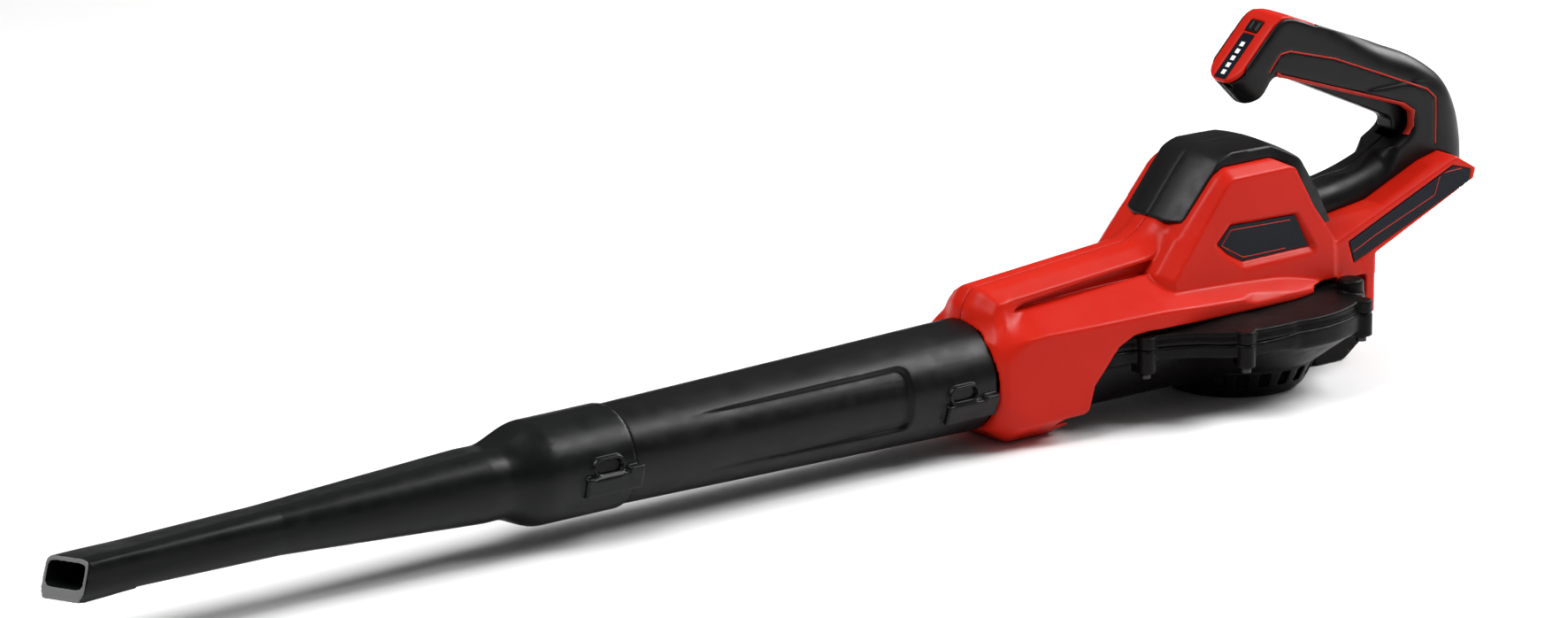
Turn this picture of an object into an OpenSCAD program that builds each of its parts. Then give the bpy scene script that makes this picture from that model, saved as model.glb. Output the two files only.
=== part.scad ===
/* [Body] */
// Length of the front shroud, from the fan axis to the tube joint
shroud_l = 236; // [220:1:260]
// Half width of the motor tower at its foot
tower_hw = 43; // [42:0.5:46]
// Half width of the battery shelf
shelf_hw = 38; // [37:0.5:40]
// Wall thickness of the moulded shells
wall = 3; // [2.5:0.1:3.2]
// Height of the tube axis above the ground
axis_z = 46.5; // [46:0.1:47]

/* [Handle] */
// Half width of the grip
grip_hw = 19; // [18:0.5:20]
// Depth by which the outer layers of the grip step in
grip_step = 5; // [4:0.5:6]
// Half width of the trigger lever
trigger_hw = 8; // [7:0.5:9]

/* [Fan] */
// Outer radius of the fan casing
volute_r = 88; // [86:0.5:88]
// Radius of the impeller
impeller_r = 64; // [60:0.5:65]
// Number of impeller blades
blade_n = 11; // [7:1:13]
// Number of slots around the intake bowl
slot_n = 18; // [10:1:20]
// Radius of the motor shaft
shaft_r = 4; // [3.5:0.5:4]

/* [Tube] */
// Tube radius at the body end
tube_r1 = 37.4; // [37:0.1:38]
// Tube radius at the nozzle end
tube_r2 = 32.7; // [32.5:0.1:33]
// Distance from the fan axis to the nozzle joint
joint_x = 533; // [500:1:540]
// Distance from the fan axis to the tip of the nozzle
tip_x = 960; // [900:1:980]
// Roll of the nozzle about its axis, in degrees
nozzle_roll = 8; // [0:1:10]

/* [Hidden] */
$fn = 64;
red = [0.82, 0.13, 0.08];
black = [0.07, 0.07, 0.075];
soft_black = [0.12, 0.12, 0.125];
dark_brown = [0.09, 0.07, 0.07];
navy = [0.03, 0.05, 0.09];
fit = 0.05;

// Side outlines are [x, z] points, counter-clockwise
tower_side = [[-96, 66], [62, 66], [64, 84], [52, 104], [38, 126], [24, 154],
              [5, 163], [-36, 163], [-46, 153], [-71, 122], [-90, 112], [-96, 104]];
tower_front = [[-58, 66], [58, 66], [54, 79], [tower_hw, 92], [40, 150],
               [31, 161], [28, 164], [-28, 164], [-31, 161], [-40, 150], [-tower_hw, 92], [-54, 79]];
shroud_side = [[-shroud_l, 14], [-214, 0], [-178, 0], [-170, 10], [-163, 36], [-144, 59],
               [-128, 66], [-84, 66], [-84, 115], [-232, 103], [-shroud_l, 99]];
shroud_plan = [[-shroud_l, -42], [-84, -57], [-84, 57], [-shroud_l, 42]];
shroud_front = [[-58, -1], [58, -1], [58, 73], [34, 94], [14, 117], [-14, 117], [-34, 94], [-58, 73]];
foot_plan = [[-shroud_l, -20], [-150, -20], [-150, 20], [-shroud_l, 20]];
shelf_side = [[50, 66], [93, 66], [93, 79], [181, 116], [183, 123], [165, 134],
              [147, 130], [100, 111], [62, 106], [50, 107]];
rear_wall_side = [[89, 40], [93, 40], [93, 68], [89, 68]];
cap_side = [[-78, 124], [-66, 118], [38, 106], [52, 106], [40, 134], [27, 158], [7, 167.5],
            [-31, 168.5], [-40, 166.5], [-51, 156]];
grip_side = [[-15.5, 208.5], [-15.5, 200.5], [-8, 193], [4, 188.5], [14, 190], [36, 208],
             [132, 172], [144, 164], [145, 152], [137, 146], [100, 129], [63, 126.5],
             [40, 124], [45, 108], [56, 104], [100, 108], [147, 127], [165, 131], [197, 123],
             [197, 152], [192, 172], [182, 186], [170, 193.5], [57, 238], [36, 246.5],
             [27, 247.5], [20, 243.5]];
bezel_side = [[-15.5, 208.5], [-12.7, 206.6], [21.5, 240.5], [28.4, 244.4], [35.2, 243.5], [56, 235],
              [57, 238], [36, 246.5], [27, 247.5], [20, 243.5]];
trigger_side = [[40, 203], [44, 200.5], [130, 161], [134, 158], [134, 151], [139, 148.6],
                [142, 152], [141.5, 159], [134, 167], [118, 175], [60, 201], [54, 206],
                [46, 209.5], [40, 208]];
trigger_pivot = [46, 205];
trigger_pin_r = 2;

// Panel line on the handle nose
panel_from = [-15.5, 208];
panel_angle = 45;
button_at = 45;
button_l = 9;
button_w = 12;

// Battery slide line
rail_from = [94, 79.4];
rail_angle = atan((116 - 79) / (181 - 93));

// Plate on the tower side, and the planes of its pocket floor and its face
badge_side = [[-49.5, 110], [-40, 101.8], [-27.5, 95], [31, 95.5], [18.5, 119], [-38.5, 121]];
badge_y0 = 38.9;
badge_y1 = 40.1;

// Decorative plate along the battery shelf
trim_side = [[69, 91], [74, 76], [177, 115], [178, 123], [162, 128], [147, 122]];
trim_depth = 1.2;
// Gap around both kinds of plate
plate_gap = 0.3;

// Fan casing heights: inlet floor, flange foot, split, flange top, roof
inlet_z = 21;
flange_z = 45;
split_z = 54;
rim_z = 62;
roof_z = 66;
duct_hw = 47;
duct_x = -150;
// Round lower part of the duct, about the tube axis
duct_r = 38.5;
duct_in_x = -56;
inlet_r = 38;
bowl_r = 45;
bowl_top_r = 58;
flare_plan = [[duct_x, -47], [-130, -48.5], [-115, -54], [-101, -59], [-88, -66], [-73, -80],
              [-50, -86], [-20, -86], [-20, 86], [-50, 86], [-73, 80], [-88, 66], [-101, 59],
              [-115, 54], [-130, 48.5], [duct_x, 47]];
skid_side = [[60, 14], [64, 0], [90, 0], [108, 13], [108, 40], [70, 40]];
volute_bosses = [[-121, 51], [-61, 82], [49, 73]];

// Motor heights and radii
mount_top = 69.5;
bearing_tube_r = 12;
bearing_r = 9.5;
bearing_h = 7;
bearing_tube_top = 114;
can_r = 29;
can_z = 73.5;
can_top = 120;
mount_screw_r = 28;

// Tube and nozzle joints
tube_end_x = -236.5;
spigot_end_x = -282;
spigot_r = 34;
front_spigot_r = 31;
sleeve_r = 34.4;
joint_gap = 0.4;
sleeve_l = 57;
key_hw = 4.2;
button_hw = 3.4;
tube_button_x = -265;
nozzle_button_x = -556;

tower_screws = [[-80, 76], [-60, 126], [12, 149], [72, 88]];
shroud_screws = [[-222, 92.5], [-120, 96]];
grip_screws = [[14, 205], [172, 170], [158, 140]];

// ---------- helpers ----------

function unit(v) = v / norm(v);
function left_normal(a, b) = let(u = unit(b - a)) [-u.y, u.x];

// Moves every side of a counter-clockwise outline inwards by d
function inset(p, d) = [
    for (i = [0 : len(p) - 1])
        let(a = p[(i + len(p) - 1) % len(p)], b = p[i], c = p[(i + 1) % len(p)],
            n1 = left_normal(a, b), n2 = left_normal(b, c), m = unit(n1 + n2))
            b + m * d / (m * n1)
];

// Extrudes an x-z outline from y0 to y1
module slab(pts, y0, y1) {
    translate([0, y1, 0]) rotate([90, 0, 0]) linear_extrude(y1 - y0) polygon(pts);
}

// Extrudes a y-z outline from x0 to x1
module slab_x(pts, x0, x1) {
    translate([x0, 0, 0]) rotate([90, 0, 90]) linear_extrude(x1 - x0) polygon(pts);
}

// Extrudes an x-y outline from z0 to z1
module slab_z(pts, z0, z1) {
    translate([0, 0, z0]) linear_extrude(z1 - z0) polygon(pts);
}

module rod_x(x0, x1, r) {
    translate([x0, 0, 0]) rotate([0, 90, 0]) cylinder(h = x1 - x0, r = r);
}

module rod_y(x, z, y0, y1, r) {
    translate([x, y1, z]) rotate([90, 0, 0]) cylinder(h = y1 - y0, r = r);
}

module ring(z0, z1, r_in, r_out) {
    translate([0, 0, z0]) difference() {
        cylinder(h = z1 - z0, r = r_out);
        translate([0, 0, -1]) cylinder(h = z1 - z0 + 2, r = r_in);
    }
}

// Keeps one side of the middle plane: side -1 is the left half
module half(side) {
    intersection() {
        children();
        translate([-400, side < 0 ? -200 : 0, -50]) cube([800, 200, 400]);
    }
}

// Moves to the panel line of the nose, x along the panel and z out of it
module on_panel(along) {
    translate([panel_from.x, 0, panel_from.y])
        rotate([0, -panel_angle, 0]) translate([along, 0, 0]) children();
}

module on_rail() {
    translate([rail_from.x, 0, rail_from.y]) rotate([0, -rail_angle, 0]) children();
}

// ---------- red body ----------

module tower_form(t) {
    intersection() {
        slab(inset(tower_side, t), -70, 70);
        slab_x(inset(tower_front, t), -120, 100);
    }
}

module shroud_form(t) {
    intersection() {
        slab(inset(shroud_side, t), -70, 70);
        slab_x(inset(shroud_front, t), -250, -60);
        slab_z(inset(shroud_plan, t), -5, 130);
        union() {
            slab_z(inset(foot_plan, t), -5, 20);
            translate([-260, -70, 9 + t]) cube([200, 140, 120]);
        }
    }
}

module shelf_form(t) {
    slab(inset(shelf_side, t), -shelf_hw + t, shelf_hw - t);
}

module body_form() {
    tower_form(0);
    shroud_form(0);
    shelf_form(0);
    slab(rear_wall_side, -shelf_hw, shelf_hw);
}

module body_cavity() {
    tower_form(wall);
    shroud_form(wall);
    shelf_form(wall);
    translate([-100, -36, 72]) cube([30, 72, 26]);
    translate([40, -30, 72]) cube([34, 60, 30]);
    // open foot of the tower over the fan casing
    translate([-93, -52, 60]) cube([150, 104, 12]);
    // mouth for the duct and the tube socket
    translate([0, 0, axis_z]) rod_x(-260, -210, 36.5);
    translate([-195, -46, 7]) cube([60, 92, 10]);
    // way through the slanted rear wall of the shroud for the duct and the fan casing
    translate([-180, -44.5, 9.5]) cube([20, 89, 56.5]);
    translate([-165, -47.2, 8.5]) cube([39, 94.4, 57.5]);
}

module body_bosses() {
    for (p = tower_screws) rod_y(p.x, p.y, -60, 60, 4.6);
    for (p = shroud_screws) rod_y(p.x, p.y, -60, 60, 4.4);
}

module trim_pocket(side) {
    slab(trim_side, side < 0 ? -60 : shelf_hw - trim_depth, side < 0 ? -shelf_hw + trim_depth : 60);
}

module housing_half(side) {
    color(red) half(side) difference() {
        union() {
            difference() {
                body_form();
                body_cavity();
            }
            intersection() {
                union() {
                    body_bosses();
                    badge_pad(side);
                }
                body_form();
            }
        }
        for (p = tower_screws) rod_y(p.x, p.y, -28, side > 0 ? 70 : 0, side < 0 ? 1.5 : 1.7);
        for (p = shroud_screws) rod_y(p.x, p.y, -14, side > 0 ? 70 : 0, side < 0 ? 1.5 : 1.7);
        if (side > 0) {
            for (p = tower_screws) rod_y(p.x, p.y, 24, 70, 3.2);
            for (p = shroud_screws) rod_y(p.x, p.y, 12, 70, 3.2);
        }
        badge_pocket(side);
        trim_pocket(side);
        on_rail() translate([2, -17, -1]) cube([24, 34, 12]);
    }
}
module housing_left() { housing_half(-1); }
module housing_right() { housing_half(1); }

module motor_cap() {
    color(black) difference() {
        slab(cap_side, -29, 29);
        body_form();
    }
}

// Six-sided plate let into the side wall of the tower
module badge_pocket(side) {
    slab(badge_side, side < 0 ? -60 : badge_y0, side < 0 ? -badge_y0 : 60);
}
module badge_pad(side) {
    slab(badge_side, side < 0 ? -badge_y1 : 34, side < 0 ? -34 : badge_y1);
}
module badge(side) {
    color(navy) slab(inset(badge_side, plate_gap), side < 0 ? -badge_y1 : badge_y0,
                     side < 0 ? -badge_y0 : badge_y1);
}
module badge_left() { badge(-1); }
module badge_right() { badge(1); }

module shelf_trim(side) {
    color(navy) slab(inset(trim_side, plate_gap), side < 0 ? -shelf_hw - 0.1 : shelf_hw - trim_depth,
                     side < 0 ? -shelf_hw + trim_depth : shelf_hw + 0.1);
}
module shelf_trim_left() { shelf_trim(-1); }
module shelf_trim_right() { shelf_trim(1); }

// ---------- handle ----------

module grip_form() {
    slab(grip_side, -grip_hw + grip_step, grip_hw - grip_step);
    slab(inset(grip_side, grip_step), -grip_hw, grip_hw);
}

module grip_cavity() {
    slab(inset(grip_side, 3.5), -11, 11);
    slab(inset(grip_side, 8), -15.5, 15.5);
}

// Room for the lever and its upward swing
trigger_room = [[33, 196], [150, 140], [150, 182], [62, 213], [40, 215], [33, 212]];

module grip_half(side) {
    color(soft_black) half(side) difference() {
        union() {
            difference() {
                grip_form();
                grip_cavity();
                slab(trigger_room, -trigger_hw - 0.6, trigger_hw + 0.6);
            }
            intersection() {
                grip_form();
                union() {
                    for (p = grip_screws) rod_y(p.x, p.y, -17, 17, 4.4);
                    rod_y(trigger_pivot.x, trigger_pivot.y, -17, -trigger_hw - 0.6, 4);
                    rod_y(trigger_pivot.x, trigger_pivot.y, 12, 17, 4);
                }
            }
        }
        body_form();
        slab(cap_side, -29, 29);
        slab(bezel_side, -16.2, 16.2);
        on_panel(0) translate([1, -7, -9]) cube([49.5, 14, 10]);
        rod_y(trigger_pivot.x, trigger_pivot.y, -14, 14, trigger_pin_r);
        rod_y(trigger_pivot.x, trigger_pivot.y, trigger_hw, 12, 5);
        for (p = grip_screws) {
            rod_y(p.x, p.y, -12, side > 0 ? 30 : 0, side < 0 ? 1.5 : 1.7);
            if (side > 0) rod_y(p.x, p.y, 8, 30, 3.2);
        }
    }
}
module grip_left() { grip_half(-1); }
module grip_right() { grip_half(1); }

module panel_bezel() {
    color(red) difference() {
        slab(bezel_side, -16, 16);
        on_panel(2) translate([0, -5.7, -6]) cube([36.5, 11.4, 10]);
        on_panel(button_at) translate([-button_l / 2 - 0.4, -button_w / 2 - 0.4, -6])
            cube([button_l + 0.8, button_w + 0.8, 10]);
    }
}

lamp_n = 5;
lamp_l = 3.5;
lamp_from = 7.3;
lamp_pitch = 5.7;
module lamp_blocks() {
    for (i = [0 : lamp_n - 1])
        on_panel(lamp_from + i * lamp_pitch)
            translate([-lamp_l / 2, -lamp_l / 2, -2.6]) cube([lamp_l, lamp_l, 2.4]);
}
module panel_window() {
    color(navy) difference() {
        on_panel(2) translate([0, -5.7, -2.6]) cube([36.5, 11.4, 2.2]);
        lamp_blocks();
    }
}
module panel_lamps() { color("white") lamp_blocks(); }

module panel_board() {
    color("darkgreen") on_panel(3) translate([0, -9, -8]) cube([47, 18, 1.6]);
}

module speed_button() {
    color(black) on_panel(button_at) translate([-button_l / 2, -button_w / 2, -3.6])
        cube([button_l, button_w, 4.2]);
}
module speed_button_spring() {
    color("dimgray") on_panel(button_at) translate([0, 0, -6.4]) cylinder(h = 2.5, r = 3);
}

module trigger() {
    color(black) difference() {
        slab(trigger_side, -trigger_hw, trigger_hw);
        rod_y(trigger_pivot.x, trigger_pivot.y, -20, 20, trigger_pin_r + fit);
    }
}
module trigger_pin() {
    color("silver") rod_y(trigger_pivot.x, trigger_pivot.y, -14, 14, trigger_pin_r);
}

// Torsion spring: three touching turns on the pin, and two straight legs
module trigger_spring() {
    wire = 0.7;
    color("silver") translate([trigger_pivot.x, 0, trigger_pivot.y]) {
        for (y = [8.75 + wire, 8.75 + 2.6 * wire])
            translate([0, y - 0.4, 0]) rotate([90, 0, 0])
                rotate_extrude() translate([trigger_pin_r + wire + 0.25, 0]) circle(r = wire);
        rotate([0, 12, 0]) translate([0, 8.4 + wire, trigger_pin_r + wire + 0.25]) rod_x(0, 3.2, 0.6);
    }
}

module trigger_switch() {
    color("dimgray") translate([84, 0, 199])
        rotate([0, 21, 0]) translate([-14, -7, 0]) cube([28, 14, 15]);
}

// ---------- fan casing ----------

module round_profile(pts) { rotate_extrude() polygon(pts); }

module mirror_pair() {
    children();
    mirror([0, 1, 0]) children();
}

// Upright cylinders at the six screw bosses of the casing
module at_bosses(z0, z1, r) {
    mirror_pair() for (p = volute_bosses) translate([p.x, p.y, z0]) cylinder(h = z1 - z0, r = r);
}
boss_r = 7.3;
boss_foot_z = 37;

// Round duct below the split, leading into the casing; t makes it smaller and longer
module duct_trough(t) {
    intersection() {
        translate([0, 0, axis_z]) rod_x(duct_x - t, duct_in_x, duct_r - t);
        translate([duct_x - t, -duct_r, 0]) cube([100 + t, 2 * duct_r, split_z + t]);
    }
}

// One thin slice of the mouth of the duct: a circle with a wider flat part above the flange
module duct_mouth(t) {
    translate([0, 0, axis_z]) rod_x(duct_x - 1, duct_x, duct_r - t);
    translate([duct_x - 1, -duct_hw + t, flange_z + t])
        cube([1, 2 * (duct_hw - t), rim_z - flange_z - 2 * t]);
}

module volute_lower() {
    color(dark_brown) difference() {
        union() {
            round_profile([[0, inlet_z], [bowl_top_r, inlet_z], [volute_r, flange_z],
                           [volute_r, split_z], [0, split_z]]);
            duct_trough(0);
            slab_z(flare_plan, flange_z, split_z);
            at_bosses(boss_foot_z, split_z, boss_r);
            slab(skid_side, -12, 12);
        }
        round_profile([[0, inlet_z + wall], [bowl_top_r - 1, inlet_z + wall],
                       [volute_r - wall, flange_z + 1.5], [volute_r - wall, split_z + 1],
                       [0, split_z + 1]]);
        translate([0, 0, inlet_z - 1]) cylinder(h = 10, r = inlet_r);
        duct_trough(wall);
        slab_z(inset(flare_plan, wall), flange_z + wall, split_z + 1);
        translate([duct_x - 1, -duct_hw + wall, flange_z]) cube([20, 2 * (duct_hw - wall), 20]);
        at_bosses(boss_foot_z - 1, split_z + 1, 2.2);
    }
}

module volute_upper() {
    color(dark_brown) difference() {
        union() {
            round_profile([[0, split_z], [volute_r, split_z], [volute_r, rim_z],
                           [58, roof_z], [0, roof_z]]);
            slab_z(flare_plan, split_z, rim_z);
            at_bosses(split_z, rim_z, boss_r);
        }
        round_profile([[0, split_z - 1], [volute_r - wall, split_z - 1], [volute_r - wall, rim_z - wall],
                       [57, roof_z - wall], [0, roof_z - wall]]);
        slab_z(inset(flare_plan, wall), split_z - 1, rim_z - wall);
        translate([duct_x - 1, -duct_hw + wall, split_z - 1])
            cube([20, 2 * (duct_hw - wall), rim_z - wall - split_z + 1]);
        translate([0, 0, roof_z - 6]) cylinder(h = 10, r = 14);
        at_mount_screws() translate([0, 0, roof_z - 6]) cylinder(h = 10, r = 2);
        at_bosses(split_z - 1, split_z + 6, 2);
    }
}

slot_from = 219;
slot_sweep = 282;
module intake_bowl() {
    color(dark_brown) difference() {
        round_profile([[0, 0], [bowl_r, 0], [bowl_r + 3, 4], [57, inlet_z], [inlet_r, inlet_z],
                       [inlet_r, inlet_z - 2.5], [52.5, inlet_z - 2.5], [bowl_r - 0.5, 5],
                       [bowl_r - 2.5, 3], [0, 3]]);
        for (k = [0 : slot_n - 1]) rotate(slot_from + k * slot_sweep / (slot_n - 1))
            translate([40, -3.75, 8.6]) cube([20, 7.5, 9.8]);
    }
}

module volute_screws() {
    color("dimgray") {
        at_bosses(boss_foot_z - 2.5, boss_foot_z, 3.6);
        at_bosses(boss_foot_z, split_z + 5.5, 2);
    }
}

module outlet_duct() {
    color(black) difference() {
        union() {
            hull() {
                duct_mouth(0.6);
                translate([0, 0, axis_z]) rod_x(-206, -205, spigot_r);
            }
            translate([0, 0, axis_z]) rod_x(spigot_end_x, -205, spigot_r);
        }
        hull() {
            translate([0.1, 0, 0]) duct_mouth(wall);
            translate([0, 0, axis_z]) rod_x(-206, -205, spigot_r - 2.5);
        }
        translate([0, 0, axis_z]) rod_x(spigot_end_x - 1, -205, spigot_r - 2.5);
        translate([spigot_end_x - 1, -50, axis_z - key_hw]) cube([35, 30, 2 * key_hw]);
    }
}

// ---------- motor and fan ----------

// The four screws that hold the motor's mount on the casing
module at_mount_screws() {
    for (a = [45 : 90 : 315]) rotate(a) translate([mount_screw_r, 0, 0]) children();
}

module motor_mount() {
    color("silver") difference() {
        union() {
            translate([0, 0, roof_z]) cylinder(h = mount_top - roof_z, r = 34);
            translate([0, 0, roof_z]) cylinder(h = bearing_tube_top - roof_z, r = bearing_tube_r);
        }
        translate([0, 0, roof_z - 1]) cylinder(h = 60, r = 5.5);
        translate([0, 0, roof_z - 1]) cylinder(h = bearing_h + 1, r = bearing_r);
        translate([0, 0, bearing_tube_top - bearing_h]) cylinder(h = bearing_h + 1, r = bearing_r);
        at_mount_screws() translate([0, 0, roof_z - 1]) cylinder(h = 10, r = 2.1);
    }
}
module motor_mount_screws() {
    color("dimgray") at_mount_screws() {
        translate([0, 0, mount_top]) cylinder(h = 2.3, r = 3.2);
        translate([0, 0, roof_z - 3.5]) cylinder(h = mount_top - roof_z + 3.5, r = 2);
    }
}
module bearing(z) { color("lightsteelblue") ring(z, z + bearing_h, shaft_r + fit, bearing_r); }
module bearing_lower() { bearing(roof_z); }
module bearing_upper() { bearing(bearing_tube_top - bearing_h); }

module tooth(w, r0, r1, z0, z1) {
    translate([r0, -w / 2, z0]) cube([r1 - r0, w, z1 - z0]);
}
module motor_stator() {
    color("gray") {
        ring(78, 104, bearing_tube_r, 15);
        for (a = [0 : 30 : 330]) rotate(a) {
            tooth(3.2, 14, 22, 78, 104);
            tooth(8, 21.5, 23.2, 78, 104);
        }
    }
}
module motor_windings() {
    color("darkorange") for (a = [0 : 30 : 330]) rotate(a) difference() {
        tooth(6, 15.6, 21.2, 76.2, 105.8);
        tooth(3.2, 15, 22, 78, 104);
    }
}
module rotor_can() {
    color("dimgray") {
        ring(can_z, can_top, 26.8, can_r);
        ring(can_top - 3, can_top, shaft_r, 27);
        ring(can_top - 4, can_top + 3, shaft_r, 8);
    }
}
module rotor_magnets() { color("slategray") ring(77, 105, 24.4, 26.8); }
module rotor_shaft() { color("silver") translate([0, 0, 32]) cylinder(h = can_top + 3 - 32, r = shaft_r); }

blade_w = 1.6;
blade_arc_r = 46;
module impeller() {
    color([0.2, 0.2, 0.21]) {
        ring(54, 56.5, shaft_r, impeller_r);
        ring(40, 56, shaft_r, 11);
        intersection() {
            round_profile([[22, 27], [50, 27], [impeller_r - 0.5, 35],
                           [impeller_r - 0.5, 54.5], [22, 54.5]]);
            for (k = [0 : blade_n - 1]) rotate(k * 360 / blade_n) intersection() {
                translate([blade_arc_r + 3, 0, 0]) ring(26, 54.5, blade_arc_r - blade_w, blade_arc_r);
                translate([0, 5, 20]) cube([80, 80, 40]);
            }
        }
    }
}
module impeller_nut() {
    color("gold") translate([0, 0, 35.5]) difference() {
        cylinder(h = 4.5, r = 7, $fn = 6);
        translate([0, 0, -1]) cylinder(h = 7, r = shaft_r);
    }
}

module controller_board() { color("darkgreen") translate([-48, -28, 132]) cube([62, 56, 1.8]); }
module controller_heat_sink() {
    color("silver") translate([-42, -20, 133.8]) {
        cube([36, 40, 2]);
        for (i = [0 : 7]) translate([0, i * 5.5, 0]) cube([36, 1.5, 8]);
    }
}

// Flat strip of the given half thickness along an x-z path, as an outline
function strip(path, r) = let(n = len(path), q = [
    for (i = [0 : n - 1])
        let(n1 = left_normal(path[max(i - 1, 0)], path[max(i, 1)]),
            n2 = left_normal(path[min(i, n - 2)], path[min(i + 1, n - 1)]), m = unit(n1 + n2))
            m * r / (m * n1)
]) concat([for (i = [0 : n - 1]) path[i] - q[i]], [for (i = [n - 1 : -1 : 0]) path[i] + q[i]]);

function rail_point(x, z) = rail_from
    + [x * cos(rail_angle) - z * sin(rail_angle), x * sin(rail_angle) + z * cos(rail_angle)];

power_wire_r = 1.4;
module power_wires() {
    path = [rail_point(16, 9.05), rail_point(16, 13), [84, 99], [60, 98], [44, 100],
            [32, 122], [14, 130.3]];
    color("red") for (y = [-6, 6])
        slab(strip(path, power_wire_r), y - power_wire_r, y + power_wire_r);
}

motor_wire_r = 1;
module motor_wires() {
    path = [[-19, 75.6], [-19, 71.3], [-36, 71.3], [-36, 131.8]];
    color("gold") for (y = [-5, 0, 5])
        slab(strip(path, motor_wire_r), y - motor_wire_r, y + motor_wire_r);
}

// ---------- battery shelf ----------

module battery_rails() {
    color(black) on_rail() for (s = [-1, 1]) {
        translate([8, s * 29 - 1.5, -8]) cube([78, 3, 7.95]);
        translate([8, s * 31.5 - 2.5, -8]) cube([78, 5, 2.5]);
    }
}
module terminal_block() {
    color("dimgray") on_rail() translate([2.2, -16.8, -7]) cube([22, 33.6, 16]);
}
module terminal_blades() {
    color("gold") on_rail() for (y = [-12, 0, 12]) translate([24.2, y - 0.5, -6]) cube([13, 1, 4.5]);
}

// ---------- tube and nozzle ----------

// Stadium-shaped key on the near side, between two distances from the tube axis
module key_plate(x, len, hw, d0, d1) {
    translate([x, -d0, 0]) rotate([90, 0, 0]) linear_extrude(d1 - d0) {
        square([len - 2 * hw, 2 * hw], center = true);
        for (s = [-1, 1]) translate([s * (len / 2 - hw), 0]) circle(r = hw);
    }
}

module joint_block(x0, x1, r) {
    rotate([19, 0, 0]) {
        translate([x0, -r - 1.5, -6.5]) cube([x1 - x0, 5, 13]);
        translate([x1 - 12, -r - 1.5, 4]) cube([12, 5, 4.5]);
    }
}

module blower_tube() {
    body_l = joint_x + tube_end_x - 0.5;
    color(black) translate([0, 0, axis_z]) difference() {
        union() {
            translate([tube_end_x, 0, 0])
                rotate([0, -90, 0]) cylinder(h = body_l, r1 = tube_r1, r2 = tube_r2);
            rod_x(-joint_x - 52, -joint_x + 1, front_spigot_r);
            joint_block(-279, tube_end_x - 0.1, tube_r1);
            key_plate(tube_button_x, 25, 5.8, 30, tube_r1 + 0.3);
        }
        rod_x(spigot_end_x - 4, -200, spigot_r + joint_gap);
        translate([spigot_end_x - 3.9, 0, 0]) rotate([0, -90, 0])
            cylinder(h = joint_x + spigot_end_x - 10, r1 = spigot_r, r2 = front_spigot_r - 2.2);
        rod_x(-joint_x - 60, -joint_x + 15, front_spigot_r - 2.2);
        key_plate(tube_button_x, 18.8, button_hw + joint_gap, 20, 60);
        rotate([-nozzle_roll, 0, 0])
            translate([-joint_x - 60, -50, -key_hw]) cube([48, 30, 2 * key_hw]);
    }
}
module tube_button() {
    color(black) translate([0, 0, axis_z]) key_plate(tube_button_x, 18, button_hw, 33, 36.6);
}

// One thin slice of the spout, hw wide to each side, from z_lo to z_hi, with corners of radius r
module spout_slice(x, hw, z_lo, z_hi, r) {
    translate([x, 0, 0]) rotate([90, 0, -90]) linear_extrude(1) offset(r = r, $fn = 32)
        translate([-hw + r, z_lo + r]) square([2 * (hw - r), z_hi - z_lo - 2 * r]);
}
module spout(t) {
    hull() {
        rod_x(-604, -603 + 5, 33.4 - t);
        spout_slice(-640, 27 - t, -24 + t, 25.5 - t, 14);
    }
    hull() {
        spout_slice(-639.5, 27 - t, -24 + t, 25.5 - t, 14);
        spout_slice(-800, 19 - t, -14.5 + t, 17.5 - t, 8);
    }
    hull() {
        spout_slice(-799.5, 19 - t, -14.5 + t, 17.5 - t, 8);
        spout_slice(-tip_x + 1 - t, 22.5 - t, -13 + t, 12 - t, 4);
    }
}
module nozzle() {
    sleeve_end = -joint_x - sleeve_l;
    color(black) translate([0, 0, axis_z]) rotate([-nozzle_roll, 0, 0]) difference() {
        union() {
            rod_x(sleeve_end - 10, -joint_x, sleeve_r);
            spout(0);
            joint_block(-575, -joint_x + 4, sleeve_r);
            key_plate(nozzle_button_x, 25, 5.8, 30, sleeve_r + 0.3);
        }
        rod_x(sleeve_end, -joint_x + 30, front_spigot_r + joint_gap);
        rod_x(-joint_x, -joint_x + 30, tube_r2 + 0.8);
        rod_x(-604, sleeve_end + 1, front_spigot_r - 1);
        spout(2.6);
        key_plate(nozzle_button_x, 18.8, button_hw + joint_gap, 20, 60);
    }
}
module nozzle_button() {
    color(black) translate([0, 0, axis_z]) rotate([-nozzle_roll, 0, 0])
        key_plate(nozzle_button_x, 18, button_hw, 30.2, 33.8);
}

// ---------- screws across the halves ----------

module screw_y(p, y_head, y_tip) {
    rod_y(p.x, p.y, y_head, y_head + 2.5, 3);
    rod_y(p.x, p.y, y_tip, y_head, 1.5);
}
module housing_screws() {
    color("dimgray") {
        for (p = tower_screws) screw_y(p, 24, -24);
        for (p = shroud_screws) screw_y(p, 12, -12);
        for (p = grip_screws) screw_y(p, 8, -10);
    }
}

housing_left();
housing_right();
motor_cap();
grip_left();
grip_right();
panel_bezel();
panel_window();
panel_lamps();
panel_board();
speed_button();
speed_button_spring();
trigger();
trigger_pin();
trigger_switch();
trigger_spring();
volute_upper();
volute_lower();
intake_bowl();
outlet_duct();
volute_screws();
housing_screws();
motor_mount();
motor_mount_screws();
motor_stator();
motor_windings();
bearing_lower();
bearing_upper();
rotor_can();
rotor_magnets();
rotor_shaft();
impeller();
impeller_nut();
controller_board();
controller_heat_sink();
battery_rails();
terminal_block();
terminal_blades();
badge_left();
badge_right();
shelf_trim_left();
shelf_trim_right();
blower_tube();
nozzle();
tube_button();
nozzle_button();
power_wires();
motor_wires();
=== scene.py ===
import math

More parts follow.
